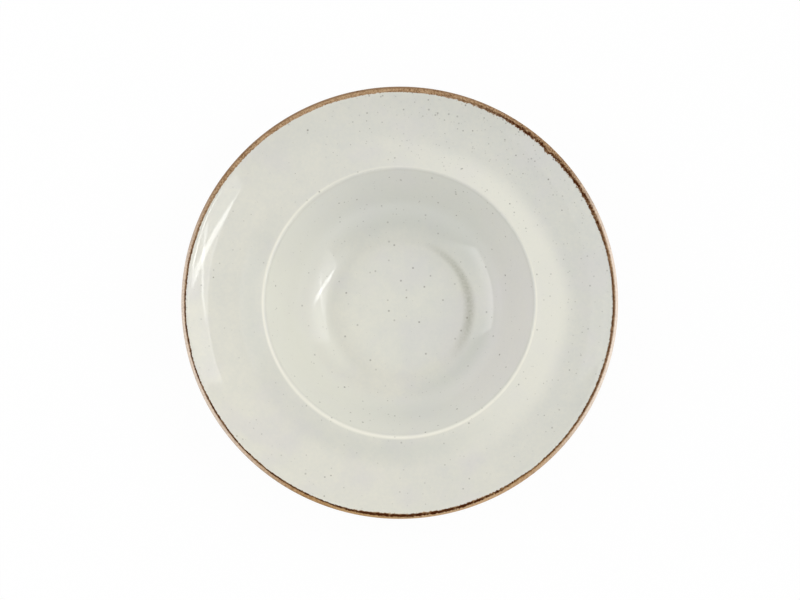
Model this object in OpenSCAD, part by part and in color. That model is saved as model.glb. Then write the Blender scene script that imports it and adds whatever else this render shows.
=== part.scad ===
// Rimmed soup plate in glazed stoneware, with a deep well, a wide rim and a brown edge.
// The plate stands on its foot ring. The origin is the middle of the ring's resting face,
// with +Z up. Every sub-part is a solid of revolution about Z.

/* [Plate] */
// Diameter over the lip
plate_d = 280; // [250:1:300]
// Thickness of the well's wall, coats included
wall_t = 5; // [3.5:0.1:6.5]

/* [Well] */
// Diameter of the well's mouth, at the top of the crest
mouth_d = 176; // [168:1:190]
// Diameter of the flat floor
floor_d = 86; // [70:1:92]
// Depth of the floor below the crest
well_depth = 36; // [28:0.5:44]
// Radius of the short turn at the floor's edge
floor_turn_r = 10; // [6:0.5:25]
// Slope in degrees at which the short turn passes into the long corner
floor_turn_a = 8; // [5:0.5:20]
// Radius of the long hollow corner between the short turn and the wall
corner_r = 42; // [30:0.5:46]
// Radius of the rounded crest between well and rim
crest_r = 2.5; // [1.5:0.1:4]

/* [Rim] */
// Distance from the crest out to the rim's lowest line
shoulder_w = 20; // [16:0.5:24]
// Slope in degrees of the shoulder that falls from the crest
shoulder_a = 10; // [4:0.5:14]
// Radius of the hollow between the shoulder and the rim's lowest line
shoulder_r = 30; // [15:1:40]
// Slope in degrees that the rim reaches at the lip
lip_a = 26.6; // [16:0.2:32]
// Length of the lip's half ellipse, along the rim
lip_len = 5.8; // [4.6:0.1:7.5]
// Thickness of the rim, coats included
rim_t = 5; // [4:0.1:6]
// Radius of the hollow under the crest, where rim and wall meet
armpit_r = 12; // [6:0.5:18]

/* [Foot] */
// Distance from the floor's edge out to the foot ring's outer side
foot_reach = 8.5; // [6:0.5:13]
// Width of the foot ring
foot_w = 4.5; // [3.5:0.1:7]
// Height of the foot ring under the well
foot_h = 2.6; // [2.4:0.1:4]
// Depth of the recess inside the foot ring
recess_depth = 2.4; // [2.2:0.1:4]
// Radius of the foot ring's lower edges
foot_edge_r = 0.9; // [0.5:0.1:1.2]
// Radius of the hollow corners at the foot ring's root
foot_root_r = 0.8; // [0.5:0.1:1.2]

/* [Coats] */
// Thickness of every glaze coat and of the brown edge
coat_t = 0.3; // [0.15:0.05:0.5]
// Width of the brown edge on the upper face, from the lip's outermost line
edge_top_w = 3.6; // [2.2:0.1:5]
// Width of the brown edge on the underside, from the same line
edge_under_w = 2.8; // [1.8:0.1:3.4]

/* [Hidden] */

// Facets of every turned surface
$fn = 180;
// Steps along a round stretch of the outline
ARC_STEPS = 10;
// Where on the foot ring's straight sides the coats stop, counted from the lower edge
glaze_line_share = 0.4;
// Slope in degrees that the well's wall never passes
steepest_wall_a = 75;

clay_colour = [0.76, 0.71, 0.63];
face_colour = [0.84, 0.84, 0.79];
back_colour = [0.82, 0.82, 0.77];
recess_colour = [0.81, 0.81, 0.76];
edge_colour = [0.40, 0.27, 0.16];

plate_r = plate_d / 2;
mouth_r = mouth_d / 2;
floor_r = floor_d / 2;
foot_out_r = floor_r + foot_reach;
foot_in_r = foot_out_r - foot_w;
valley_r = mouth_r + shoulder_w;

floor_z = foot_h + wall_t;
crest_z = floor_z + well_depth;

// The long corner is limited by its wall: where floor and mouth lie so close together that its
// full radius would need a steeper wall, it gets the radius that leads to the steepest one.
steep_rise = well_depth * cos(steepest_wall_a);
steep_turn = (floor_turn_r + crest_r) * (1 - cos(steepest_wall_a));
steep_room = (mouth_r - floor_r) * sin(steepest_wall_a) - steep_rise - steep_turn;
corner_room_r = floor_turn_r + steep_room / (1 - cos(steepest_wall_a - floor_turn_a));
long_r = min(corner_r, corner_room_r);

// The short turn starts level at the floor's edge. The long corner goes on from it in the
// same direction, so both centres lie on one line through the point where they meet.
turn_c = [floor_r, floor_z + floor_turn_r];
corner_c = turn_c + (long_r - floor_turn_r) * [-sin(floor_turn_a), cos(floor_turn_a)];

// The straight wall is tangent to the long corner and to the crest. Its length and slope
// follow from the run and the rise between them and from the two radii together.
well_run = mouth_r - corner_c.x;
well_rise = crest_z - corner_c.y + long_r;
well_turn_r = long_r + crest_r;
wall_len = sqrt(well_run ^ 2 + well_rise ^ 2 - 2 * well_turn_r * well_rise);
wall_a = atan2(well_rise - well_turn_r, well_run) + atan2(well_turn_r, wall_len);

// The shoulder falls in a straight line that is tangent to the crest and to its hollow.
shoulder_turn_r = crest_r + shoulder_r;
shoulder_run = shoulder_w - shoulder_turn_r * sin(shoulder_a);
shoulder_drop = shoulder_turn_r * (1 - cos(shoulder_a)) + shoulder_run * tan(shoulder_a);
valley_z = crest_z - shoulder_drop;

// One arc climbs from the valley to the lip. The lip is half an ellipse that goes on along
// the rim, so it reaches the upper face and the underside in their own direction.
half_t = rim_t / 2;
lip_reach = sqrt((lip_len * cos(lip_a)) ^ 2 + (half_t * sin(lip_a)) ^ 2);
rise_r = (plate_r - lip_reach - valley_r) / sin(lip_a) - half_t;

crest_c = [mouth_r, crest_z - crest_r];
shoulder_c = [valley_r, valley_z + shoulder_r];
rise_c = [valley_r, valley_z + rise_r];
lip_c = rise_c + (rise_r + half_t) * [sin(lip_a), -cos(lip_a)];

// Turns round the half ellipse, from its tip: the outermost line and the brown edge's borders
lip_out_t = -atan(half_t * tan(lip_a) / lip_len);
edge_top_t = lip_out_t + acos(1 - edge_top_w / lip_reach);
edge_under_t = lip_out_t - acos(1 - edge_under_w / lip_reach);

// The hollow under the crest touches the wall's outer face and the shoulder's underside. It is
// limited by its wall too: a straight stretch is left between it and the long corner.
armpit_a = wall_a + shoulder_a;
armpit_along = (wall_len - coat_t) * sin(armpit_a) + (wall_t - crest_r) * cos(armpit_a);
armpit_room_r = (armpit_along - rim_t + crest_r) / (1 - cos(armpit_a));
hollow_r = min(armpit_r, armpit_room_r);

// Its centre is where two lines meet, one beside the wall and one under the shoulder, given by
// their distances from the crest's centre.
armpit_out = wall_t - crest_r + hollow_r;
armpit_down = rim_t - crest_r + hollow_r;
armpit_c = crest_c + [
    armpit_out * cos(shoulder_a) - armpit_down * cos(wall_a),
    -armpit_down * sin(wall_a) - armpit_out * sin(shoulder_a)] / sin(armpit_a);

// The foot ring's outer root touches the well's underside and the ring's glazed side.
foot_root_x = foot_out_r + coat_t + foot_root_r;
foot_root_reach = long_r + wall_t + foot_root_r;
foot_root_a = asin((foot_root_x - corner_c.x) / foot_root_reach);
foot_root_c = [foot_root_x, corner_c.y - foot_root_reach * cos(foot_root_a)];
recess_root_c = [foot_in_r - coat_t - foot_root_r, recess_depth - foot_root_r];
outer_line_z = foot_edge_r + glaze_line_share * (foot_root_c.y - foot_edge_r);
inner_line_z = foot_edge_r + glaze_line_share * (recess_root_c.y - foot_edge_r);

// A stretch of outline is a list of [point on the finished face, normal out of the plate].
// A swell is an arc with its centre inside the clay, and a hollow has it outside. The first
// step is 1 where the arc goes on from the end of the one before it.
function swell(c, r, from, to, first = 0) =
    [for (i = [first : ARC_STEPS])
        let (a = from + (to - from) * i / ARC_STEPS, n = [cos(a), sin(a)])
        [c + r * n, n]];
function hollow(c, r, from, to, first = 0) =
    [for (p = swell(c, r, from, to, first)) [p[0], -p[1]]];

// A stretch of the lip's half ellipse, from the upper face at 90 to the underside at -90
function lip(from, to, first = 0) =
    [for (i = [first : ARC_STEPS])
        let (
            t = from + (to - from) * i / ARC_STEPS,
            along = [cos(lip_a), sin(lip_a)],
            across = [-sin(lip_a), cos(lip_a)],
            n = cos(t) / lip_len * along + sin(t) / half_t * across)
        [lip_c + lip_len * cos(t) * along + half_t * sin(t) * across, n / norm(n)]];

// The points of a stretch at some depth under the finished face
function at_depth(stretch, depth) = [for (p = stretch) p[0] - depth * p[1]];
function reversed(points) = [for (i = [len(points) - 1 : -1 : 0]) points[i]];
function after_first(stretch) = [for (i = [1 : len(stretch) - 1]) stretch[i]];

face_line = concat(
    [[[0, floor_z], [0, 1]]],
    hollow(turn_c, floor_turn_r, -90, -90 + floor_turn_a),
    hollow(corner_c, long_r, -90 + floor_turn_a, -90 + wall_a, first = 1),
    swell(crest_c, crest_r, 90 + wall_a, 90),
    swell(crest_c, crest_r, 90, 90 - shoulder_a, first = 1),
    hollow(shoulder_c, shoulder_r, -90 - shoulder_a, -90),
    hollow(rise_c, rise_r, -90, -90 + lip_a, first = 1),
    lip(90, edge_top_t, first = 1));
edge_line = concat(
    lip(edge_top_t, lip_out_t),
    lip(lip_out_t, edge_under_t, first = 1));
back_line = concat(
    lip(edge_under_t, -90),
    swell(rise_c, rise_r + rim_t, -90 + lip_a, -90, first = 1),
    swell(shoulder_c, shoulder_r + rim_t, -90, -90 - shoulder_a, first = 1),
    hollow(armpit_c, hollow_r, 90 - shoulder_a, 90 + wall_a),
    swell(corner_c, long_r + wall_t, -90 + wall_a, -90 + foot_root_a),
    hollow(foot_root_c, foot_root_r, 90 + foot_root_a, 180, first = 1),
    [[[foot_out_r + coat_t, outer_line_z], [1, 0]]]);
foot_line = concat(
    swell([foot_out_r - foot_edge_r, foot_edge_r], foot_edge_r, 0, -90),
    swell([foot_in_r + foot_edge_r, foot_edge_r], foot_edge_r, -90, -180));
recess_line = concat(
    [[[foot_in_r - coat_t, inner_line_z], [-1, 0]]],
    hollow(recess_root_c, foot_root_r, 0, 90),
    [[[0, recess_depth], [0, -1]]]);

// One coat, as a shell that lies on the clay along a stretch of the outline
module coat(stretch) {
    rotate_extrude()
        polygon(concat(at_depth(stretch, 0), reversed(at_depth(stretch, coat_t))));
}

// The fired clay, with its foot ring
module clay_body() {
    color(clay_colour)
        rotate_extrude()
            polygon(concat(
                at_depth(face_line, coat_t),
                at_depth(after_first(edge_line), coat_t),
                at_depth(after_first(back_line), coat_t),
                at_depth(foot_line, 0),
                at_depth(recess_line, coat_t)));
}

// The speckled glaze over the well and the rim
module face_glaze() {
    color(face_colour)
        coat(face_line);
}

// The glaze under the rim and down the outside of the well, to the foot ring
module back_glaze() {
    color(back_colour)
        coat(back_line);
}

// The glaze inside the foot ring
module recess_glaze() {
    color(recess_colour)
        coat(recess_line);
}

// The brown edge that wraps the lip
module edge_band() {
    color(edge_colour)
        coat(edge_line);
}

clay_body();
face_glaze();
back_glaze();
recess_glaze();
edge_band();
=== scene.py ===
# %% [markdown]
# # A rimmed soup plate
# The object is a glazed stoneware plate: a deep well with a flat floor, a raised crest round the
# well's mouth, a wide dished rim, and a lip with a hand-brushed brown edge. It could be modelled
# by pushing a disc about, but a real plate is pressed between turned moulds, so this lesson
# writes its half outline down once, from tangent arcs, and lets Geometry Nodes turn it.
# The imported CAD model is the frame: everything below is in metres, in the same place.

import math

import bpy
from mathutils import Matrix, Vector


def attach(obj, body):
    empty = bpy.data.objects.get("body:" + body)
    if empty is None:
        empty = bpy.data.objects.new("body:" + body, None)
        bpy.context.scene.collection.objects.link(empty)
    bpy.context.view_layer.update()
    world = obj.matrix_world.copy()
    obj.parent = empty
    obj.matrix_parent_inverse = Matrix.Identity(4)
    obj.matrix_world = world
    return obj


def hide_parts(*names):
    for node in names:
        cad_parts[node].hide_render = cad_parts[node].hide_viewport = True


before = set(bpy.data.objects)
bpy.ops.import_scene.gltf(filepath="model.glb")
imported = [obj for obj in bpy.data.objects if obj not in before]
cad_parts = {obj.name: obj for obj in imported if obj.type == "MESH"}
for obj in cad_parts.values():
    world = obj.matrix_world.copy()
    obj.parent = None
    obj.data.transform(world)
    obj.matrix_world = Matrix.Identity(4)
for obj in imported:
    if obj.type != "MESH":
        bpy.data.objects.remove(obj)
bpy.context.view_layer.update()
bpy.context.scene.view_settings.view_transform = "Standard"
print("CAD nodes:", ", ".join(sorted(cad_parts)))

# %% [markdown]
# ## Millimetres and degrees
# A mould maker's template is marked in millimetres and degrees, so the sizes here are too. A few
# one-line helpers keep the sums readable.

# %% Helpers for millimetres and degrees
MM = 0.001


def sind(degrees):
    return math.sin(math.radians(degrees))


def cosd(degrees):
    return math.cos(math.radians(degrees))


def tand(degrees):
    return math.tan(math.radians(degrees))


def asind(value):
    return math.degrees(math.asin(value))


def acosd(value):
    return math.degrees(math.acos(value))


def atand(value, run=1.0):
    return math.degrees(math.atan2(value, run))


# %% [markdown]
# ## The well
# These are the plate's own sizes, as in its CAD source. The floor meets the wall in two steps, a
# short tight turn and then a long gentle one, because a wall that starts that way shows a lamp's
# reflection as a crisp crescent just above the floor. Each arc starts where the last one ends and
# in the same direction, so its centre and the wall's slope follow from the sizes.

# %% Sizes and centres of the well
plate_r = 140 * MM
mouth_r = 88 * MM
floor_r = 43 * MM
well_depth = 36 * MM
wall_t = 5 * MM
foot_h = 2.6 * MM
floor_turn_r = 10 * MM
floor_turn_a = 8
corner_r = 42 * MM
crest_r = 2.5 * MM

floor_z = foot_h + wall_t
crest_z = floor_z + well_depth
turn_gap = corner_r - floor_turn_r
turn_c = Vector((floor_r, floor_z + floor_turn_r))
corner_c = turn_c + turn_gap * Vector((-sind(floor_turn_a), cosd(floor_turn_a)))
crest_c = Vector((mouth_r, crest_z - crest_r))

well_run = mouth_r - corner_c.x
well_rise = crest_z - corner_c.y + corner_r
well_turn_r = corner_r + crest_r
wall_len = math.sqrt(well_run**2 + well_rise**2 - 2 * well_turn_r * well_rise)
wall_a = atand(well_rise - well_turn_r, well_run) + atand(well_turn_r, wall_len)
print(f"The wall slopes by {wall_a:.1f} degrees, {wall_len / MM:.1f} mm of it straight")
print(f"The crest is {crest_z / MM:.2f} mm high")

# %% [markdown]
# ## The rim and its lip
# Outside the crest the face falls over a shoulder into a shallow valley and rises in one long
# hollow to the lip. The lip is half an ellipse, so that the edge thins towards its outermost
# line as a pressed and fettled rim does. Places on it are given as angles round the ellipse.

# %% Sizes and centres of the rim
shoulder_w = 20 * MM
shoulder_a = 10
shoulder_r = 30 * MM
rim_t = 5 * MM
lip_a = 26.6
lip_len = 5.8 * MM

shoulder_turn_r = crest_r + shoulder_r
shoulder_run = shoulder_w - shoulder_turn_r * sind(shoulder_a)
shoulder_drop = shoulder_turn_r * (1 - cosd(shoulder_a)) + shoulder_run * tand(shoulder_a)
valley_r = mouth_r + shoulder_w
valley_z = crest_z - shoulder_drop

half_t = rim_t / 2
lip_reach = math.hypot(lip_len * cosd(lip_a), half_t * sind(lip_a))
lip_height = math.hypot(lip_len * sind(lip_a), half_t * cosd(lip_a))
rise_r = (plate_r - lip_reach - valley_r) / sind(lip_a) - half_t
lip_c = Vector((plate_r - lip_reach, valley_z + rise_r - (rise_r + half_t) * cosd(lip_a)))
shoulder_c = Vector((valley_r, valley_z + shoulder_r))
rise_c = Vector((valley_r, valley_z + rise_r))
print(f"Valley {valley_z / MM:.2f}, lip {(lip_c.y + lip_height) / MM:.2f} mm high")
print(f"The rim's hollow has a radius of {rise_r / MM:.1f} mm")

# %% Where the brown edge starts and ends
edge_top_w = 3.6 * MM
edge_under_w = 2.8 * MM
lip_out_t = -atand(half_t * tand(lip_a) / lip_len)
edge_top_t = lip_out_t + acosd(1 - edge_top_w / lip_reach)
edge_under_t = lip_out_t - acosd(1 - edge_under_w / lip_reach)
print(f"The edge runs from {edge_top_t:.1f} to {edge_under_t:.1f} degrees round the lip")

# %% [markdown]
# ## The back and the foot
# The back runs beside the face at the clay's thickness. Under the crest it has a wide hollow, and
# at the foot ring a small one. Coats of glaze end part of the way down the ring's sides.

# %% Sizes and centres of the back
coat_t = 0.3 * MM
armpit_r = 12 * MM
foot_out_r = 51.5 * MM
foot_w = 4.5 * MM
foot_edge_r = 0.9 * MM
foot_root_r = 0.8 * MM
recess_depth = 2.4 * MM
glaze_line_share = 0.4

armpit_out = wall_t - crest_r + armpit_r
armpit_down = rim_t - crest_r + armpit_r
armpit_x = armpit_out * cosd(shoulder_a) - armpit_down * cosd(wall_a)
armpit_z = -armpit_down * sind(wall_a) - armpit_out * sind(shoulder_a)
armpit_c = crest_c + Vector((armpit_x, armpit_z)) / sind(wall_a + shoulder_a)

foot_in_r = foot_out_r - foot_w
foot_root_x = foot_out_r + coat_t + foot_root_r
foot_root_reach = corner_r + wall_t + foot_root_r
foot_root_a = asind((foot_root_x - corner_c.x) / foot_root_reach)
foot_root_c = Vector((foot_root_x, corner_c.y - foot_root_reach * cosd(foot_root_a)))
recess_root_c = Vector((foot_in_r - coat_t - foot_root_r, recess_depth - foot_root_r))
outer_line_z = foot_edge_r + glaze_line_share * (foot_root_c.y - foot_edge_r)
inner_line_z = foot_edge_r + glaze_line_share * (recess_root_c.y - foot_edge_r)
print(f"The foot ring is {2 * foot_out_r / MM:.0f} mm outside, {2 * foot_in_r / MM:.0f} inside")

# %% [markdown]
# ## Stretches of outline
# A stretch is a list of points on the finished face, each with its normal. A swell has its
# centre inside the clay and a hollow has it outside. The steps are fine, because a gloss
# surface shows every facet in its highlights.

# %% Arcs as lists of points with normals
STEP_LENGTH = 0.9 * MM
STEP_ANGLE = 2.5


def swell(centre, radius, start, end):
    """Points along an arc, with normals that point away from its centre."""
    turn = abs(end - start)
    by_length = math.radians(turn) * radius / STEP_LENGTH
    steps = max(2, math.ceil(max(by_length, turn / STEP_ANGLE)))
    stretch = []
    for step in range(steps + 1):
        angle = start + (end - start) * step / steps
        normal = Vector((cosd(angle), sind(angle)))
        stretch.append((centre + radius * normal, normal))
    return stretch


def hollow(centre, radius, start, end):
    """The same arc seen from its hollow side."""
    return [(point, -normal) for point, normal in swell(centre, radius, start, end)]


def lip(start, end):
    """Points along the half ellipse that ends the rim."""
    along = Vector((cosd(lip_a), sind(lip_a)))
    across = Vector((-sind(lip_a), cosd(lip_a)))
    steps = max(2, math.ceil(abs(end - start) / STEP_ANGLE))
    stretch = []
    for step in range(steps + 1):
        angle = start + (end - start) * step / steps
        point = lip_c + lip_len * cosd(angle) * along + half_t * sind(angle) * across
        normal = cosd(angle) / lip_len * along + sind(angle) / half_t * across
        stretch.append((point, normal.normalized()))
    return stretch


# %% Lines as chains of stretches
SAME_POINT = 0.001 * MM


def joined(*stretches):
    """One stretch from several, without the points that they share."""
    line = []
    for stretch in stretches:
        for point, normal in stretch:
            if not line or (point - line[-1][0]).length > SAME_POINT:
                line.append((point, normal))
    return line


def at_depth(line, depth, every=1):
    """The points of a line at some depth under the finished face."""
    kept = [i for i in range(len(line)) if i % every == 0 or i == len(line) - 1]
    return [line[i][0] - depth * line[i][1] for i in kept]


# %% [markdown]
# ## The plate's five lines
# The outline is cut where one finish gives way to the next: the face with its well and rim, the
# brown edge, the back, the bare foot and the recess inside it.

# %% The face and the edge
UP = Vector((0, 1))
OUT = Vector((1, 0))
FLOOR_STEPS = 24

floor_steps = [
    (Vector((floor_r * i / FLOOR_STEPS, floor_z)), UP) for i in range(FLOOR_STEPS + 1)
]
face_line = joined(
    floor_steps,
    hollow(turn_c, floor_turn_r, -90, -90 + floor_turn_a),
    hollow(corner_c, corner_r, -90 + floor_turn_a, -90 + wall_a),
    swell(crest_c, crest_r, 90 + wall_a, 90),
    swell(crest_c, crest_r, 90, 90 - shoulder_a),
    hollow(shoulder_c, shoulder_r, -90 - shoulder_a, -90),
    hollow(rise_c, rise_r, -90, -90 + lip_a),
    lip(90, edge_top_t),
)
edge_line = joined(lip(edge_top_t, lip_out_t), lip(lip_out_t, edge_under_t))
print("Points on the face and the edge:", len(face_line), len(edge_line))

# %% The back, the foot and the recess
back_line = joined(
    lip(edge_under_t, -90),
    swell(rise_c, rise_r + rim_t, -90 + lip_a, -90),
    swell(shoulder_c, shoulder_r + rim_t, -90, -90 - shoulder_a),
    hollow(armpit_c, armpit_r, 90 - shoulder_a, 90 + wall_a),
    swell(corner_c, corner_r + wall_t, -90 + wall_a, -90 + foot_root_a),
    hollow(foot_root_c, foot_root_r, 90 + foot_root_a, 180),
    [(Vector((foot_out_r + coat_t, outer_line_z)), OUT)],
)
foot_line = joined(
    swell(Vector((foot_out_r - foot_edge_r, foot_edge_r)), foot_edge_r, 0, -90),
    swell(Vector((foot_in_r + foot_edge_r, foot_edge_r)), foot_edge_r, -90, -180),
)
recess_line = joined(
    [(Vector((foot_in_r - coat_t, inner_line_z)), -OUT)],
    hollow(recess_root_c, foot_root_r, 0, 90),
    [(Vector((0, recess_depth)), -UP)],
)
print("Points on back, foot and recess:", len(back_line), len(foot_line), len(recess_line))

# %% [markdown]
# ## Node trees from Python
# Trees are easier to read as sums than as boxes and wires. Signal wraps one socket and turns
# Python's operators into Math nodes. Every other node comes from Net.node, which takes the
# node's type, its settings and the values or links of its sockets.


# %% A socket that can be added and multiplied
class Signal:
    """One output socket. Adding or multiplying it makes Math nodes."""

    def __init__(self, net, socket):
        self.net = net
        self.socket = socket

    def math(self, operation, *others, first=None):
        values = [self if first is None else first, *others]
        settings = {"operation": operation}
        return self.net.signal("ShaderNodeMath", settings, dict(enumerate(values)))

    def __add__(self, other):
        return self.math("ADD", other)

    def __sub__(self, other):
        return self.math("SUBTRACT", other)

    def __mul__(self, other):
        return self.math("MULTIPLY", other)

    def __truediv__(self, other):
        return self.math("DIVIDE", other)

    def __rsub__(self, other):
        return self.math("SUBTRACT", self, first=other)

    __radd__ = __add__
    __rmul__ = __mul__

    def at_least(self, other):
        return self.math("MAXIMUM", other)

    def at_most(self, other):
        return self.math("MINIMUM", other)


# %% A tree that is filled by code
class Net:
    """A node tree, and the few nodes that this plate needs again and again."""

    def __init__(self, tree):
        self.tree = tree

    def node(self, kind, settings=None, sockets=None):
        made = self.tree.nodes.new(kind)
        for key, value in (settings or {}).items():
            setattr(made, key, value)
        for key, value in (sockets or {}).items():
            if isinstance(value, Signal):
                self.tree.links.new(value.socket, made.inputs[key])
            else:
                made.inputs[key].default_value = value
        return made

    def signal(self, kind, settings=None, sockets=None, output=0):
        return Signal(self, self.node(kind, settings, sockets).outputs[output])

    def split(self, vector):
        """The X, Y and Z of a vector."""
        made = self.node("ShaderNodeSeparateXYZ", {}, {"Vector": vector})
        return [Signal(self, output) for output in made.outputs]

    def smooth(self, value, low, high):
        """0 below low, 1 above high, and a soft step between."""
        settings = {"interpolation_type": "SMOOTHSTEP"}
        sockets = {"Value": value, "From Min": low, "From Max": high}
        return self.signal("ShaderNodeMapRange", settings, sockets)

    def ring(self, radius, middle, half_width):
        """1 at a radius, falling softly to 0 at half_width on both sides."""
        away = (radius - middle).math("ABSOLUTE")
        return 1 - self.smooth(away, 0.0, half_width)

    def colour(self, first, second, factor):
        """A mix of two colours."""
        sockets = {0: factor, 6: first, 7: second}
        return self.signal("ShaderNodeMix", {"data_type": "RGBA"}, sockets, output=2)

    def noise(self, vector, scale, detail=2.0, roughness=0.5):
        sockets = {"Vector": vector, "Scale": scale, "Detail": detail, "Roughness": roughness}
        return self.signal("ShaderNodeTexNoise", {}, sockets, output="Fac")


# %% [markdown]
# ## The turning tree
# A plate is a body of revolution, so its shape follows one rule. The tree takes a half outline,
# lays it across a circle and sweeps it round with Curve to Mesh. The outline lies in the XZ
# plane, and the sweep wants it flat in XY with the circle's radius taken off, so the tree moves
# its points first. Merge by Distance closes the poles.

# %% The tree and what it is given
turning = bpy.data.node_groups.new("turning", "GeometryNodeTree")
for label, kind in (
    ("Outline", "NodeSocketGeometry"),
    ("Facets", "NodeSocketInt"),
    ("Undulation", "NodeSocketFloat"),
    ("Wave Scale", "NodeSocketFloat"),
    ("Seed", "NodeSocketFloat"),
    ("Finish", "NodeSocketMaterial"),
):
    turning.interface.new_socket(label, in_out="INPUT", socket_type=kind)
turning.interface.new_socket("Piece", in_out="OUTPUT", socket_type="NodeSocketGeometry")

net = Net(turning)
given = net.node("NodeGroupInput")


def entry(label):
    return Signal(net, given.outputs[label])


# %% Lay the outline down and sweep it round
HUB_RADIUS = 10 * MM
POLE_GAP = 0.002 * MM

radius, _, height = net.split(net.signal("GeometryNodeInputPosition"))
flat_sockets = {"X": radius - HUB_RADIUS, "Y": 0 - height, "Z": 0.0}
flat = net.signal("ShaderNodeCombineXYZ", {}, flat_sockets)
laid_sockets = {"Geometry": entry("Outline"), "Position": flat}
laid = net.signal("GeometryNodeSetPosition", {}, laid_sockets)
profile = net.signal("GeometryNodeMeshToCurve", {}, {"Mesh": laid})
wheel_sockets = {"Resolution": entry("Facets"), "Radius": HUB_RADIUS}
wheel = net.signal("GeometryNodeCurvePrimitiveCircle", {}, wheel_sockets)
swept_sockets = {"Curve": wheel, "Profile Curve": profile}
swept = net.signal("GeometryNodeCurveToMesh", {}, swept_sockets)
closed_sockets = {"Geometry": swept, "Distance": POLE_GAP}
closed = net.signal("GeometryNodeMergeByDistance", {}, closed_sockets)
print("Turning tree:", len(turning.nodes), "nodes so far")

# %% [markdown]
# ## A faint undulation
# A glaze never lies quite true, and a perfect surface looks like plastic. So slow waves are
# pressed into the finished faces, which the attribute skin marks, and the hidden faces stay true.

# %% Press slow waves into the skin
skin = net.signal("GeometryNodeInputNamedAttribute", {"data_type": "FLOAT"}, {"Name": "skin"})
wave_sockets = {
    "Vector": net.signal("GeometryNodeInputPosition"),
    "W": entry("Seed"),
    "Scale": entry("Wave Scale"),
    "Detail": 0.0,
}
waves = net.signal("ShaderNodeTexNoise", {"noise_dimensions": "4D"}, wave_sockets)
press_sockets = {
    0: net.signal("GeometryNodeInputNormal"),
    "Scale": 0 - waves * skin * entry("Undulation"),
}
pressed = net.signal("ShaderNodeVectorMath", {"operation": "SCALE"}, press_sockets)
waved = net.signal("GeometryNodeSetPosition", {}, {"Geometry": closed, "Offset": pressed})

# %% Shade it smooth, give it its finish and hand it over
SHARP_ANGLE = math.radians(38)

edge_angle = net.signal("GeometryNodeInputMeshEdgeAngle")
is_sharp = edge_angle.math("GREATER_THAN", SHARP_ANGLE)
creased_sockets = {"Geometry": waved, "Selection": is_sharp, "Shade Smooth": False}
creased = net.signal("GeometryNodeSetShadeSmooth", {"domain": "EDGE"}, creased_sockets)
real = net.signal("GeometryNodeRealizeInstances", {}, {"Geometry": creased})
painted_sockets = {"Geometry": real, "Material": entry("Finish")}
painted = net.signal("GeometryNodeSetMaterial", {}, painted_sockets)
net.node("NodeGroupOutput", {}, {"Piece": painted})
print("Turning tree:", len(turning.nodes), "nodes in all")

# %% [markdown]
# ## Turning a piece
# The outline becomes a mesh of edges with a modifier on it. The modifier's inputs are set by
# their identifiers, because names need not be unique. Then the evaluated result is kept as a
# plain mesh and the modifier goes, so that the piece is what is seen. The volume tells whether
# the faces point outwards, and a closed mesh has no edge with only one face.


# %% Outlines and measures
def outline_mesh(name, points, skinned, closed_loop):
    """A mesh of edges along a half outline, with its finished points marked as skin."""
    count = len(points)
    edges = [(i, i + 1) for i in range(count - 1)]
    if closed_loop:
        edges.append((count - 1, 0))
    outline = bpy.data.meshes.new(name + "_outline")
    outline.from_pydata([(p.x, 0, p.y) for p in points], edges, [])
    mark = outline.attributes.new("skin", "FLOAT", "POINT")
    mark.data.foreach_set("value", [1.0 if i in skinned else 0.0 for i in range(count)])
    return outline


def print_measures(name, mesh):
    """Prints a mesh's triangles, its volume and how many of its edges are open."""
    mesh.calc_loop_triangles()
    volume = 0.0
    for triangle in mesh.loop_triangles:
        a, b, c = (mesh.vertices[v].co for v in triangle.vertices)
        volume += a.dot(b.cross(c)) / 6
    uses = [0] * len(mesh.edges)
    for loop in mesh.loops:
        uses[loop.edge_index] += 1
    open_edges = sum(1 for count in uses if count != 2)
    triangles = len(mesh.loop_triangles)
    print(f"{name}: {triangles} triangles, {volume * 1e6:.2f} ml, {open_edges} open edges")


# %% Turn an outline into a piece
FACETS = 288
UNDULATION = 0.06 * MM
WAVE_SCALE = 26.0
WAVE_SEED = 4.0


def turned(name, points, skinned, closed_loop, finish, node):
    outline = outline_mesh(name, points, skinned, closed_loop)
    piece = bpy.data.objects.new(name, outline)
    bpy.context.scene.collection.objects.link(piece)
    modifier = piece.modifiers.new("turning", "NODES")
    modifier.node_group = turning
    values = {
        "Facets": FACETS,
        "Undulation": UNDULATION,
        "Wave Scale": WAVE_SCALE,
        "Seed": WAVE_SEED,
        "Finish": finish,
    }
    for item in turning.interface.items_tree:
        if item.item_type == "SOCKET" and item.name in values:
            modifier[item.identifier] = values[item.name]
    graph = bpy.context.evaluated_depsgraph_get()
    mesh = bpy.data.meshes.new_from_object(piece.evaluated_get(graph))
    piece.modifiers.remove(modifier)
    piece.data = mesh
    mesh.name = name
    print_measures(name, mesh)

    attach(piece, "root")
    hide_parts(node)


# %% [markdown]
# ## Where a point lies on the plate
# A glaze behaves according to where it is: on the floor, on the wall, on the crest, and nearer
# to one side of the kiln than to the other. So every mask starts from a point's radius and its
# bearing, in degrees from +X. The brush went round the lip, so its marks need a noise that is
# stretched that way and has no seam.


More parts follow.
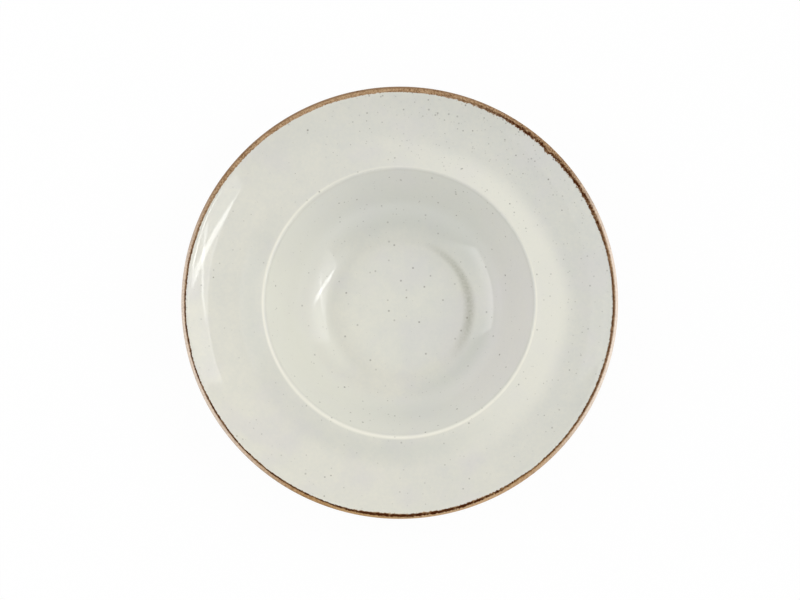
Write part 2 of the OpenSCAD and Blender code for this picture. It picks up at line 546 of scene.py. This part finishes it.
# %% Masks that follow the plate
class Place:
    """Where a point lies on the plate, as signals in a material's tree."""

    def __init__(self, net):
        self.net = net
        self.spot = net.signal("ShaderNodeTexCoord", {}, {}, output="Object")
        self.x, self.y, _ = net.split(self.spot)
        self.radius = (self.x * self.x + self.y * self.y).math("SQRT")
        safe = self.radius.at_least(0.01 * MM)
        self.cos = self.x / safe
        self.sin = self.y / safe

    def towards(self, bearing, half_angle):
        """1 in one direction from the axis, falling softly to 0 at half_angle beside it."""
        along = self.cos * cosd(bearing) + self.sin * sind(bearing)
        return self.net.smooth(along, cosd(half_angle), 1.0)

    def brushed(self, round_scale, radial_scale):
        """A vector that stretches a noise round the plate and has no seam."""
        sockets = {
            "X": self.cos * round_scale,
            "Y": self.sin * round_scale,
            "Z": self.radius * radial_scale,
        }
        return self.net.signal("ShaderNodeCombineXYZ", {}, sockets)


# %% [markdown]
# ## The glaze's ground
# A reactive stoneware glaze is not one colour. It drifts between a greenish cream and a blue
# grey over a few centimetres, and lilac clouds float in it. Three noises of different fineness
# mottle it, so that no step shows. Over the whole plate the ground is also made bluer and darker
# towards the right and the back, faster on the floor than on the rim: partly the glaze's own
# drift and partly painted shade.

# %% Colours as a picture shows them
SRGB_KNEE = 0.04045


def srgb(red, green, blue):
    """A colour from 0 to 255, turned into the light that a shader needs."""
    channels = []
    for value in (red, green, blue):
        share = value / 255
        high = ((share + 0.055) / 1.055) ** 2.4
        channels.append(share / 12.92 if share <= SRGB_KNEE else high)
    return (*channels, 1.0)


# %% Cream to blue grey, with a gradient of painted shade
CREAM = srgb(219, 217, 204)
BLUE_GREY = srgb(203, 204, 197)
LILAC_GREY = srgb(206, 203, 203)
FLOOR_FADE = (30 * MM, 46 * MM)
# Painted shade: the ground turns bluer and darker towards the right (X) and the back (Y), faster
# on the floor.
DRIFT_AND_SHADE_X = 1.9
DRIFT_AND_SHADE_Y = 1.5
FLOOR_DRIFT_AND_SHADE_X = 4.0
CLOUD_EDGE = (0.46, 0.72)
CLOUD_SHARE = 0.35


def on_floor(place):
    """1 on the middle of the floor, falling to 0 just past its edge."""
    return 1 - place.net.smooth(place.radius, *FLOOR_FADE)


def ground(place, patch):
    """The glaze's colour, partly painted shade already, before the later steps add more painted
    shade and light.
    """
    net = place.net
    slow = net.noise(place.spot, 24.0, 2.0)
    grain = net.noise(place.spot, 480.0, 2.0, 0.6)
    mottle = (slow - 0.5) * 0.7 + (patch - 0.5) * 0.6 + (grain - 0.5) * 0.6
    # Partly the glaze's own drift and partly painted shade: darker and bluer to the right and the
    # back.
    drift_and_shade_x = on_floor(place) * FLOOR_DRIFT_AND_SHADE_X + DRIFT_AND_SHADE_X
    drift_and_shade = place.x * drift_and_shade_x + place.y * DRIFT_AND_SHADE_Y + 0.5 + mottle
    colour = net.colour(CREAM, BLUE_GREY, drift_and_shade.at_least(0.0).at_most(1.0))
    cloud = net.smooth(net.noise(place.spot, 38.0, 2.0), *CLOUD_EDGE)
    return net.colour(colour, LILAC_GREY, cloud * CLOUD_SHARE)


# %% [markdown]
# ## Painted shade
# Places that lie in shade are painted darker and greener: low on the well's far wall, low in
# the well at the front and on the lower right, and on the shoulder at the front and on the left.
# Just inside the wall a thin dark line is painted, with a grain that is finer than the mottle; it
# is partly glaze that ran together there and partly painted shade, darkest on the right.

# %% Painted shade, and the line of pooled glaze and painted shade
FLOOR_GLAZE = srgb(223, 227, 221)
# Painted shade: a darker, greener glaze for places that lie in shade.
SHADE_GLAZE = srgb(186, 191, 184)
# The line at the wall's foot: partly pooled glaze, partly painted shade.
POOL_AND_SHADE = srgb(166, 166, 152)
FLOOR_SHARE = 0.12
# Each row has a radius and half a width in mm, a bearing and half an angle, and a shade share.
SHADED_PLACES = (
    (62, 22, 74, 74, 0.4),
    (57, 14, -42, 50, 0.35),
    (97, 12, -92, 50, 0.26),
    (96, 12, 182, 50, 0.22),
    (71, 14, -88, 36, 0.3),
)
POOL_R = 45.9 * MM
POOL_HALF = 5.4 * MM
POOL_AND_SHADE_SIDE = (12, 60)
POOL_THIN_SIDE = (48, 34)
POOL_THINNER = 1.6 * MM


def with_painted_shade(place, colour):
    net = place.net
    colour = net.colour(colour, FLOOR_GLAZE, on_floor(place) * FLOOR_SHARE)
    # Painted shade in each listed place: low on the far wall, low at the front and lower right,
    # on the shoulder.
    for middle, half_width, bearing, half_angle, share in SHADED_PLACES:
        shaded = net.ring(place.radius, middle * MM, half_width * MM)
        shaded = shaded * place.towards(bearing, half_angle)
        colour = net.colour(colour, SHADE_GLAZE, shaded * share)
    # A thin dark line at the wall's foot, partly pooled glaze and partly painted shade, strongest
    # on the right.
    half_width = POOL_HALF - place.towards(*POOL_THIN_SIDE) * POOL_THINNER
    side = place.towards(*POOL_AND_SHADE_SIDE) * 0.57 + 0.05
    fine = net.noise(place.spot, 700.0, 2.0, 0.6) * 1.6 + 0.2
    pool_and_shade = net.ring(place.radius, POOL_R, half_width) * side
    return net.colour(colour, POOL_AND_SHADE, pool_and_shade * fine)


# %% [markdown]
# ## The wall of the well
# The well's wall is painted paler, as painted light for the light that falls on it, more on
# the left than on the right; its tone is warm on the left and lilac on the right. On the left a
# paler band of painted light also follows the long turn at the wall's foot.

# %% The wall's painted light and tones
# Painted light: paler tones that brighten the well's wall.
LIT_WALL_GLAZE = srgb(227, 228, 222)
WARM_WALL = srgb(229, 229, 217)
LILAC_WALL = srgb(234, 229, 229)
WALL_START = (54 * MM, 68 * MM)
WALL_END = (85 * MM, 87 * MM)
LIT_SIDE = (192, 95)
WARM_SIDE = (200, 90)
LILAC_SIDE = (-12, 62)
LIGHT_BAND_R = 52 * MM
LIGHT_BAND_HALF = 11 * MM
LIGHT_BAND_SIDE = (184, 62)


def with_painted_wall_light(place, colour, uneven):
    net = place.net
    tone = net.colour(LIT_WALL_GLAZE, WARM_WALL, place.towards(*WARM_SIDE))
    tone = net.colour(tone, LILAC_WALL, place.towards(*LILAC_SIDE) * 0.8)
    # Painted light over the wall, stronger on the left where the right softbox lights it.
    wall = net.smooth(place.radius, *WALL_START)
    wall = wall * (1 - net.smooth(place.radius, *WALL_END))
    wall = wall * (place.towards(*LIT_SIDE) * 0.32 + 0.48)
    colour = net.colour(colour, tone, wall * uneven)
    # A band of painted light along the long turn on the left.
    light_band = net.ring(place.radius, LIGHT_BAND_R, LIGHT_BAND_HALF) * place.towards(*LIGHT_BAND_SIDE)
    return net.colour(colour, tone, light_band * 0.62)


# %% [markdown]
# ## Thin places and painted highlights
# A glaze breaks to cream where it thins: in a fine line on the crest, and in a broad stretch on
# the shoulder outside it, which reaches less far at the upper right. Both are partly painted
# highlights: the crest line stands for the bright line that the crest's tight curve reflects,
# wider at the front and fainter at the back, and the shoulder's stretch, on the right, for the
# soft light that the shoulder catches from the right.

# %% The crest and the shoulder, with painted highlights
THIN_GLAZE_AND_HIGHLIGHT = srgb(236, 234, 220)
CREST_LINE_HALF = 1.3 * MM
CREST_WIDE_SIDE = (-85, 100)
CREST_FAINT_SIDE = (75, 80)
SHOULDER_START = (mouth_r - 0.4 * MM, mouth_r + 0.6 * MM)
SHOULDER_END = (102 * MM, 115 * MM)
SHOULDER_SIDE = (12, 112)
SHOULDER_SHORT_SIDE = (52, 52)
SHOULDER_SHORTER = 6 * MM


def with_thin_glaze_and_highlights(place, colour, uneven):
    net = place.net
    # Painted highlight along the crest, with the glaze's cream break: wider at the front, fainter
    # at the back.
    half_width = CREST_LINE_HALF * (1 + place.towards(*CREST_WIDE_SIDE) * 0.5)
    crest = net.ring(place.radius, mouth_r, half_width)
    crest = crest * (1 - place.towards(*CREST_FAINT_SIDE) * 0.6)
    # The shoulder's cream stretch on the right, partly painted highlight.
    shoulder = net.smooth(place.radius, *SHOULDER_START)
    outwards = place.radius + place.towards(*SHOULDER_SHORT_SIDE) * SHOULDER_SHORTER
    shoulder = shoulder * (1 - net.smooth(outwards, *SHOULDER_END))
    shoulder = shoulder * place.towards(*SHOULDER_SIDE) * 0.52
    return net.colour(colour, THIN_GLAZE_AND_HIGHLIGHT, crest.at_least(shoulder) * uneven)


# %% [markdown]
# ## Specks
# Iron specks melt through the glaze, darker in the middle and soft at their edges. A Voronoi
# texture gives one random point in each cell of space. Where such a point lies close to the
# surface it leaves a dot, and because the points lie at all depths, the dots come out in all
# sizes, as real specks do.

# %% Specks as a mask
SPECK = srgb(98, 93, 80)


def specks(place, cell, size, where):
    """Soft dots up to size across, in the share of the cells that where says."""
    net = place.net
    sockets = {"Vector": place.spot, "Scale": 1 / cell, "Randomness": 1.0}
    cells = net.node("ShaderNodeTexVoronoi", {"feature": "F1"}, sockets)
    distance = Signal(net, cells.outputs["Distance"]) * cell
    random_colour = Signal(net, cells.outputs["Color"])
    split = net.node("ShaderNodeSeparateColor", {}, {"Color": random_colour})
    lot, shade, growth = (Signal(net, output) for output in split.outputs)
    chosen = (where - lot).math("GREATER_THAN", 0.0)
    reach = (growth * 0.6 + 0.4) * (size / 2)
    dot = 1 - net.smooth(distance / reach, 0.35, 1.0)
    return dot * chosen * (shade * 0.55 + 0.45)


# %% [markdown]
# Two layers are used: few bold specks and many faint ones. A slow noise thins them out in
# places. They crowd on the rim's upper right side, and a few more of them stand together on the
# left of the floor.

# %% Bold and faint specks
BOLD_CELL, BOLD_SIZE = 4.0 * MM, 1.9 * MM
FAINT_CELL, FAINT_SIZE = 2.4 * MM, 1.2 * MM
RIM_START = (90 * MM, 100 * MM)
CROWDED_SIDE = (65, 46)
FULLER_SIDE = (25, 110)
CLUSTER_X, CLUSTER_Y = -31 * MM, 4 * MM
CLUSTER_FADE = (4 * MM, 9 * MM)


def all_specks(place, speck_share):
    net = place.net
    on_rim = net.smooth(place.radius, *RIM_START)
    crowd = place.towards(*CROWDED_SIDE) * 0.9 + place.towards(*FULLER_SIDE) * 0.28 - 0.1
    slow_lot = net.noise(place.spot, 14.0, 1.0) * 1.6 + 0.2
    away_x = place.x - CLUSTER_X
    away_y = place.y - CLUSTER_Y
    away = (away_x * away_x + away_y * away_y).math("SQRT")
    cluster = 1 - net.smooth(away, *CLUSTER_FADE)
    where = ((on_rim * crowd + 0.26) * slow_lot + cluster * 0.6) * speck_share
    bold = specks(place, BOLD_CELL, BOLD_SIZE, where)
    faint = specks(place, FAINT_CELL, FAINT_SIZE, where * 0.6 + 0.1)
    return bold.at_least(faint * 0.5)


# %% [markdown]
# ## The brush that made the edge
# The brown was brushed on by hand while the plate turned. Noises that are stretched round the
# plate give the frayed border, its slow wander, the single strokes and the clumps between them.
# The brush was loaded twice, at the bottom and at the upper right, and left more brown there.


# %% The brush's marks
class Brush:
    """What the brush left round the lip, as signals."""

    def __init__(self, place):
        net = place.net
        self.place = place
        self.fray = net.noise(place.brushed(95.0, 900.0), 1.0, 3.0, 0.65)
        self.wander = net.noise(place.brushed(6.0, 0.0), 1.0, 1.0)
        stroke = net.noise(place.brushed(120.0, 1100.0), 1.0, 2.0, 0.7)
        self.stroke = (stroke - 0.5) * 3.0 + 0.5
        self.clumps = net.noise(place.brushed(52.0, 420.0), 1.0, 2.0, 0.6)
        self.patchy = net.noise(place.brushed(16.0, 120.0), 1.0, 2.0)
        self.below = place.towards(-83, 29)
        self.right = place.towards(46, 40)
        self.sparing = place.towards(112, 62)
        heavy = self.right.at_least(self.below)
        self.heavy = heavy.at_least(place.towards(-14, 44) * 0.35)


# %% [markdown]
# The border doesn't follow the line where the pieces meet: it leans in and out, frays most where
# the brush was full, and hangs over in one drip. So the brown is a mask over the glaze.

# %% How far inside the border a point lies
EDGE_BORDER = plate_r - edge_top_w
LEAN_OUT_SIDE = (-142, 75)
LEAN_IN_SIDE = (62, 95)
DRIP_SIDE = (45.5, 1.3)
BORDER_SOFTNESS = 0.3 * MM


def inside_border(brush):
    """How far outwards from the border a point lies, in metres."""
    place = brush.place
    ragged = brush.right * 2.6 + brush.below * 1.2 + 1.6
    lean = place.towards(*LEAN_OUT_SIDE) * 0.5 - place.towards(*LEAN_IN_SIDE) * 0.5
    lean = lean - brush.right * 0.3
    drip = place.towards(*DRIP_SIDE) * 1.2
    border = EDGE_BORDER + (0.5 - brush.fray) * ragged * MM
    border = border + ((0.5 - brush.wander) * 1.2 + lean - drip) * MM
    return place.radius - border


# %% [markdown]
# The oxide is thickest a little inside its border, where the bristles dropped it, and there it
# is nearly black. Outside that core it thins to a caramel.

# %% The dark core
CORE_FIRM_SIDE = (-140, 60)
OUTERMOST = (plate_r - 2.0 * MM, plate_r - 1.0 * MM)


def dark_core(brush, inside):
    """1 where the brown is thickest."""
    place = brush.place
    net = place.net
    middle = (brush.heavy * 0.7 + brush.wander * 0.5 + 0.35) * MM
    half_width = (brush.heavy * 0.45 + brush.patchy * 0.5 + 0.32) * MM
    core = 1 - net.smooth((inside - middle).math("ABSOLUTE") / half_width, 0.5, 1.3)
    core = core * (1 - brush.sparing * 0.85)
    core = core * (net.smooth(brush.clumps, 0.3, 0.6) * 0.5 + 0.45)
    firm = brush.below * 0.6 + place.towards(*CORE_FIRM_SIDE) * 0.25 + brush.right * 0.25
    core = core * (brush.stroke * 0.5 + firm + 0.6)
    outermost = net.smooth(place.radius, *OUTERMOST)
    core = core.at_least(outermost * brush.sparing * (brush.stroke * 0.5 + 0.1))
    return core.at_least(0.0).at_most(1.0)


# %% [markdown]
# The outermost line of the lip is worn nearly bare on the left and the right, where the glaze
# drew back in the kiln, and keeps an amber tone at the bottom. Its pale colour on the left and
# the right is also a painted highlight, for the softboxes that the lip's rounding reflects.

# %% The colours of the brown
CHOCOLATE = srgb(64, 27, 0)
CHESTNUT = srgb(112, 77, 46)
CARAMEL = srgb(188, 157, 122)
AMBER = srgb(190, 146, 84)
PALE_LIP_AND_HIGHLIGHT = srgb(240, 225, 210)
AMBER_SIDE = (-84, 64)
# Each row has a bearing and half an angle, and how bare and brightly lit the lip is there.
BARE_AND_LIT_SIDES = ((195, 52, 0.8), (-8, 50, 1.12), (-68, 28, 0.28))
BARE_AND_LIT_START = (plate_r - 2.3 * MM, plate_r - 1.2 * MM)


def brown_colour(brush, inside):
    place = brush.place
    net = place.net
    tone = brush.stroke * 0.8 + brush.patchy * 0.5 + brush.sparing * 0.14 - 0.02
    colour = net.colour(CHESTNUT, CARAMEL, net.smooth(tone + brush.below * 0.4, 0.15, 1.1))
    bare_and_lit_share = 0.0
    for bearing, half_angle, share in BARE_AND_LIT_SIDES:
        bare_and_lit_share = place.towards(bearing, half_angle) * share + bare_and_lit_share
    # Bare glaze and painted highlight on the lip's outermost line, on the left and the right.
    bare_and_lit = net.smooth(place.radius, *BARE_AND_LIT_START) * bare_and_lit_share * (brush.stroke * 0.25 + 0.72)
    colour = net.colour(colour, PALE_LIP_AND_HIGHLIGHT, bare_and_lit.at_most(1.0))
    colour = net.colour(colour, AMBER, place.towards(*AMBER_SIDE) * 0.4)
    return net.colour(colour, CHOCOLATE, dark_core(brush, inside))


# %% [markdown]
# ## One function for every glazed face
# Each glazed piece gets its own material from this function, so the record's slots stay
# separate, but the colours agree wherever two pieces meet. The glaze is glossy and the oxide is
# matt, so each has a shader of its own and the border mixes them.


# %% Empty trees and bumps
def new_net(name):
    """A material's empty tree."""
    material = bpy.data.materials.new(name)
    material.use_nodes = True
    material.node_tree.nodes.clear()
    return material, Net(material.node_tree)


def bumped(net, height, distance):
    """A normal that follows a height."""
    sockets = {"Strength": 1.0, "Distance": distance, "Height": height}
    return net.signal("ShaderNodeBump", {}, sockets)


# %% The glazed finish
GLAZE_IOR = 1.52
OXIDE_SPECULAR = 0.05
BUMP_HEIGHT = 0.012 * MM


def glazed(name, speck_share, face=True, edge=True):
    material, net = new_net(name)
    place = Place(net)
    patch = net.noise(place.spot, 110.0, 3.0, 0.6)
    colour = ground(place, patch)
    if face:
        uneven = patch * 0.3 + 0.72
        colour = with_painted_shade(place, colour)
        colour = with_painted_wall_light(place, colour, uneven)
        colour = with_thin_glaze_and_highlights(place, colour, uneven)
    dots = all_specks(place, speck_share)
    colour = net.colour(colour, SPECK, dots * 0.66)
    roughness = net.noise(place.spot, 60.0, 2.0) * 0.03 + 0.025
    relief = net.noise(place.spot, 420.0, 2.0, 0.5) - dots * 0.5
    normal = bumped(net, relief, BUMP_HEIGHT)
    glaze = {"Base Color": colour, "Roughness": roughness, "Normal": normal, "IOR": GLAZE_IOR}
    shader = net.signal("ShaderNodeBsdfPrincipled", {}, glaze, output="BSDF")
    if edge:
        brush = Brush(place)
        inside = inside_border(brush)
        oxide = {
            "Base Color": brown_colour(brush, inside),
            "Roughness": brush.stroke * 0.1 + 0.45,
            "Normal": normal,
            "Specular IOR Level": OXIDE_SPECULAR,
        }
        painted = net.signal("ShaderNodeBsdfPrincipled", {}, oxide, output="BSDF")
        brown = net.smooth(inside, 0.0, BORDER_SOFTNESS)
        shader = net.signal("ShaderNodeMixShader", {}, {0: brown, 1: shader, 2: painted})
    net.node("ShaderNodeOutputMaterial", {}, {"Surface": shader})
    print(name, "has", len(material.node_tree.nodes), "nodes")
    return material


# %% Four glazed materials
BACK_SPECKS = 0.55
RECESS_SPECKS = 0.4

speckled = glazed("speckled_glaze", 1.0)
brushed = glazed("brown_edge", 1.0)
back = glazed("back_glaze", BACK_SPECKS, face=False)
recess = glazed("recess_glaze", RECESS_SPECKS, face=False, edge=False)

# %% [markdown]
# ## The bare foot
# Only the ring that the plate stands on is left without glaze. Fired stoneware is matt, buff
# and slightly sandy, and a little darker where grit has been ground off.

# %% The clay finish
BARE_CLAY = srgb(196, 180, 156)
BARE_CLAY_DARK = srgb(172, 154, 130)
GRIT_CELL, GRIT_SIZE = 2.4 * MM, 0.7 * MM
SAND_HEIGHT = 0.05 * MM


def bare_clay(name):
    material, net = new_net(name)
    place = Place(net)
    cloud = net.noise(place.spot, 90.0, 4.0, 0.6)
    grain = net.noise(place.spot, 1500.0, 3.0, 0.7)
    shade = net.smooth(cloud * 0.6 + grain * 0.4, 0.35, 0.65)
    colour = net.colour(BARE_CLAY_DARK, BARE_CLAY, shade)
    where = net.noise(place.spot, 30.0, 0.0) * 0.6 + 0.24
    grit = specks(place, GRIT_CELL, GRIT_SIZE, where)
    colour = net.colour(colour, SPECK, grit * 0.7)
    normal = bumped(net, grain + grit * 0.6, SAND_HEIGHT)
    sockets = {"Base Color": colour, "Roughness": grain * 0.2 + 0.72, "Normal": normal}
    shader = net.signal("ShaderNodeBsdfPrincipled", {}, sockets, output="BSDF")
    net.node("ShaderNodeOutputMaterial", {}, {"Surface": shader})
    print(name, "has", len(material.node_tree.nodes), "nodes")
    return material


clay = bare_clay("fired_clay")

# %% [markdown]
# ## The coats
# A coat is a closed shell between its finished face and the clay under it. Its inner side is
# never seen, so it takes only every eighth point. A coat that reaches the axis is an open
# outline, because the sweep closes it there by itself.

# %% Turn the coats
INNER_EVERY = 8


def coat(name, line, finish, node, ends_on_axis=""):
    """Turns one coat. ends_on_axis says which end of its line lies on the axis, if any."""
    outer = at_depth(line, 0)
    inner = at_depth(line, coat_t, INNER_EVERY)[::-1]
    points = outer + inner
    skinned = set(range(1, len(outer) - 1))
    if ends_on_axis == "last":
        points = inner + outer
        skinned = set(range(len(inner) + 1, len(points)))
    if ends_on_axis == "first":
        skinned.add(0)
    turned(name, points, skinned, not ends_on_axis, finish, node)


coat("glaze_face", face_line, speckled, "face_glaze", "first")
coat("brown_lip", edge_line, brushed, "edge_band")
coat("glaze_back", back_line, back, "back_glaze")
coat("glaze_recess", recess_line, recess, "recess_glaze", "last")

# %% [markdown]
# ## The body
# The pressed clay fills everything under the coats and comes to the surface only at the foot
# ring. Its covered sides take fewer points.

# %% Turn the body
COVERED_EVERY = 3
UNDER_EDGE_EVERY = 2

body_points = (
    at_depth(face_line, coat_t, COVERED_EVERY)
    + at_depth(edge_line, coat_t, UNDER_EDGE_EVERY)[1:]
    + at_depth(back_line, coat_t, COVERED_EVERY)[1:]
    + at_depth(foot_line, 0)
    + at_depth(recess_line, coat_t)
)
turned("stoneware_body", body_points, set(), False, clay, "clay_body")

# %% [markdown]
# ## The white floor
# The ground is plain white. The floor is white to the camera and in reflections, but a small
# share of it stays an ordinary matt surface, so that the plate still shades it.

# %% Floor
FLOOR_HALF = 6.0
FLOOR_WHITE = (0.9, 0.9, 0.9, 1)
WHITE = (1, 1, 1, 1)
SHADOW_SHARE = 0.04


def seen_directly(net):
    """1 for what the camera sees, also in gloss and through glass."""
    path = net.node("ShaderNodeLightPath")
    kinds = ("Is Camera Ray", "Is Glossy Ray", "Is Transmission Ray")
    camera, glossy, through = (Signal(net, path.outputs[kind]) for kind in kinds)
    return camera.at_least(glossy).at_least(through)


corners = [(-FLOOR_HALF, -FLOOR_HALF), (FLOOR_HALF, -FLOOR_HALF)]
corners += [(FLOOR_HALF, FLOOR_HALF), (-FLOOR_HALF, FLOOR_HALF)]
floor_mesh = bpy.data.meshes.new("floor")
floor_mesh.from_pydata([(x, y, 0) for x, y in corners], [], [(0, 1, 2, 3)])
floor = bpy.data.objects.new("floor", floor_mesh)
bpy.context.scene.collection.objects.link(floor)

floor_paint, net = new_net("floor_white")
matt = net.signal("ShaderNodeBsdfDiffuse", {}, {"Color": FLOOR_WHITE})
glow = net.signal("ShaderNodeEmission", {}, {"Color": WHITE, "Strength": 1.0})
share = seen_directly(net) * (1 - SHADOW_SHARE)
mixed = net.signal("ShaderNodeMixShader", {}, {0: share, 1: matt, 2: glow})
net.node("ShaderNodeOutputMaterial", {}, {"Surface": mixed})
floor_mesh.materials.append(floor_paint)
print("Floor:", 2 * FLOOR_HALF, "m across")

# %% [markdown]
# ## The white surroundings
# The surroundings are white too. Where they light matt surfaces they are dimmer, because the
# lamps add the rest, and there they are brighter at the back and low down on the right.

# %% Surroundings
PLAIN_LIGHT = 0.661
LIGHT_TILT_Y = 0.13
RIGHT_GLOW = 0.28
RIGHT_GLOW_START = 0.3

world = bpy.data.worlds.new("surroundings")
bpy.context.scene.world = world
world.use_nodes = True
world.node_tree.nodes.clear()
net = Net(world.node_tree)
direction = net.signal("ShaderNodeTexCoord", {}, {}, output="Generated")
towards_x, towards_y, _ = net.split(direction)
right_glow = net.smooth(towards_x, RIGHT_GLOW_START, 1.0) * RIGHT_GLOW
plain = towards_y * LIGHT_TILT_Y + right_glow + PLAIN_LIGHT
direct = seen_directly(net)
strength = direct + (1 - direct) * plain
sky = net.signal("ShaderNodeBackground", {}, {"Color": WHITE, "Strength": strength})
net.node("ShaderNodeOutputWorld", {}, {"Surface": sky})
print("Surroundings:", PLAIN_LIGHT, "of white to matt surfaces, before tilt and glow")

# %% [markdown]
# ## Two softboxes
# The glaze shows its lamps: a tall softbox stands on each side of the plate, and the stays of
# the right one catch its lamp and draw a bright cross over its cloth. Area lights do this
# plainly. Each is placed by the tilt and bearing of its middle as the plate sees it. A lamp has
# a node tree too, and the Geometry node's Parametric output says where on its face a ray meets
# it, so the cloth needs no picture.

# %% Softboxes
PLATE_TOP = Vector((0, 0, 0.03))


def panel_axes(tilt, bearing, lean, roll):
    """Axes of a panel: down its face, across it, and out of its back."""
    out = Vector((sind(tilt) * cosd(bearing), sind(tilt) * sind(bearing), cosd(tilt)))
    down = Vector((cosd(tilt) * cosd(bearing), cosd(tilt) * sind(bearing), -sind(tilt)))
    across = out.cross(down)
    leaned_out = out * cosd(lean) + down * sind(lean)
    leaned_down = down * cosd(lean) - out * sind(lean)
    first = leaned_down * cosd(roll) + across * sind(roll)
    second = across * cosd(roll) - leaned_down * sind(roll)
    return out, first, second, leaned_out


def softbox(name, tilt, bearing, distance, lean, roll, slide, halves, face):
    """A rectangle of light whose brightness varies over its cloth as face says."""
    out, first, second, back = panel_axes(tilt, bearing, lean, roll)
    middle = PLATE_TOP + out * distance + first * slide[0] + second * slide[1]
    data = bpy.data.lights.new(name, "AREA")
    data.shape = "RECTANGLE"
    data.size = 2 * halves[0]
    data.size_y = 2 * halves[1]
    data.energy = math.pi * data.size * data.size_y
    data.use_nodes = True
    data.node_tree.nodes.clear()
    net = Net(data.node_tree)
    spot = net.signal("ShaderNodeNewGeometry", {}, {}, output="Parametric")
    down, over = (share * 2 - 1 for share in net.split(spot)[:2])
    lit = net.signal("ShaderNodeEmission", {}, {"Strength": face(net, down, over)})
    net.node("ShaderNodeOutputLight", {}, {"Surface": lit})
    lamp = bpy.data.objects.new(name, data)
    turn = Matrix((first, second, back)).transposed().to_4x4()
    lamp.matrix_world = Matrix.Translation(middle) @ turn
    bpy.context.scene.collection.objects.link(lamp)
    print(f"{name}: middle at {[round(c, 2) for c in middle]} m, {data.size:.2f} m tall")


# %% [markdown]
# ## What the cloths look like
# Down runs from -1 at a cloth's upper end to 1 at its lower end, and over from -1 to 1 across
# it. The right cloth is brightest at its upper end, where a seam catches the light, and two
# stays cross it, a bold one that tapers and a fine one. The left cloth is brightest at its lower
# end.

# %% The stays and the two cloths
RIGHT_HALVES = (1.075, 0.76)
LEFT_HALVES = (0.74, 0.91)
SEAM_GLOW = 1.4
BOLD_GLOW = 5.3
FINE_GLOW = 4.2


def stay(net, down, over, start, end, half_width, taper=0.0):
    """1 along a line between two places on the right cloth, falling to 0 beside it."""
    run = Vector(((end[0] - start[0]) * RIGHT_HALVES[0], (end[1] - start[1]) * RIGHT_HALVES[1]))
    along = run.normalized()
    x = (down - start[0]) * RIGHT_HALVES[0]
    y = (over - start[1]) * RIGHT_HALVES[1]
    beside = (y * along.x - x * along.y).math("ABSOLUTE")
    gone = (x * along.x + y * along.y) / run.length
    ends = net.smooth(gone, -0.03, 0.08) * (1 - net.smooth(gone, 0.7, 1.0))
    width = (1 - gone * taper) * half_width
    return (1 - net.smooth(beside, width * 0.4, width)) * ends


def right_cloth(net, down, over):
    cloth = 1 - net.smooth(down, 0.35, 1.0) + 0.45
    seam = 1 - net.smooth(down, -0.95, -0.8)
    bold = stay(net, down, over, (-0.95, -0.74), (0.62, 0.3), 0.15, 0.55)
    fine = stay(net, down, over, (-0.72, 0.38), (0.55, -0.51), 0.06)
    return cloth + seam * SEAM_GLOW + bold * BOLD_GLOW + fine * FINE_GLOW


def left_cloth(net, down, over):
    return net.smooth(down, -0.6, 0.9) * 1.3 + 0.7


# %% Hang the softboxes
softbox(
    "softbox_right",
    tilt=37.8,
    bearing=0.6,
    distance=2.0,
    lean=54.1,
    roll=-9.7,
    slide=(-0.075, 0.084),
    halves=RIGHT_HALVES,
    face=right_cloth,
)
softbox(
    "softbox_left",
    tilt=41.6,
    bearing=184.7,
    distance=2.0,
    lean=6.4,
    roll=-0.4,
    slide=(0.0, 0.0),
    halves=LEFT_HALVES,
    face=left_cloth,
)

# %% [markdown]
# ## The camera
# The outline in the photograph is nearly a circle, which gives the tilt, and the floor's shift
# against the rim gives the distance. The image is taken as 800 by 600 pixels.

# %% Camera
IMAGE_W = 800
IMAGE_H = 600
SENSOR = 36.0
FOCAL_PX = 2805.0
DISTANCE = 1.8
ELEVATION = 81.75

camera_data = bpy.data.cameras.new("camera")
camera_data.sensor_width = SENSOR
camera_data.lens = FOCAL_PX * SENSOR / IMAGE_W
camera = bpy.data.objects.new("camera", camera_data)
bpy.context.scene.collection.objects.link(camera)
bpy.context.scene.camera = camera
aim = Vector((0, 0, lip_c.y))
back_off = Vector((0, -cosd(ELEVATION), sind(ELEVATION)))
camera.location = aim + DISTANCE * back_off
camera.rotation_mode = "QUATERNION"
camera.rotation_quaternion = (-back_off).to_track_quat("-Z", "Y")
print(f"Camera {DISTANCE} m away, lens {camera_data.lens:.1f} mm")

# %% [markdown]
# The photograph was cropped, so the camera's image is shifted until the plate's outline lands
# where the photograph has it. The print compares the two.

# %% Shift the image
OUTLINE_MIDDLE = (399.73, 302.77)
OUTLINE_HALF = (218.4, 216.4)
lip_out = lip_c.y + (lip_len**2 - half_t**2) * sind(lip_a) * cosd(lip_a) / lip_reach


def pixel(point):
    """Where the camera sees a point, in pixels from the image's upper left corner."""
    seen = camera.rotation_quaternion.inverted() @ (point - camera.location)
    x = IMAGE_W / 2 + FOCAL_PX * seen.x / -seen.z - camera_data.shift_x * IMAGE_W
    y = IMAGE_H / 2 - FOCAL_PX * seen.y / -seen.z + camera_data.shift_y * IMAGE_W
    return x, y


def outline():
    """Middle and half sizes of the plate's outline in the image."""
    ring = [Vector((plate_r * cosd(a), plate_r * sind(a), lip_out)) for a in range(360)]
    xs, ys = zip(*(pixel(point) for point in ring))
    middle = ((max(xs) + min(xs)) / 2, (max(ys) + min(ys)) / 2)
    return middle, ((max(xs) - min(xs)) / 2, (max(ys) - min(ys)) / 2)


middle, _ = outline()
camera_data.shift_x = (middle[0] - OUTLINE_MIDDLE[0]) / IMAGE_W
camera_data.shift_y = (OUTLINE_MIDDLE[1] - middle[1]) / IMAGE_W
print("Outline in the photograph:", OUTLINE_MIDDLE, OUTLINE_HALF)
print("Outline here:", [[round(value, 2) for value in pair] for pair in outline()])
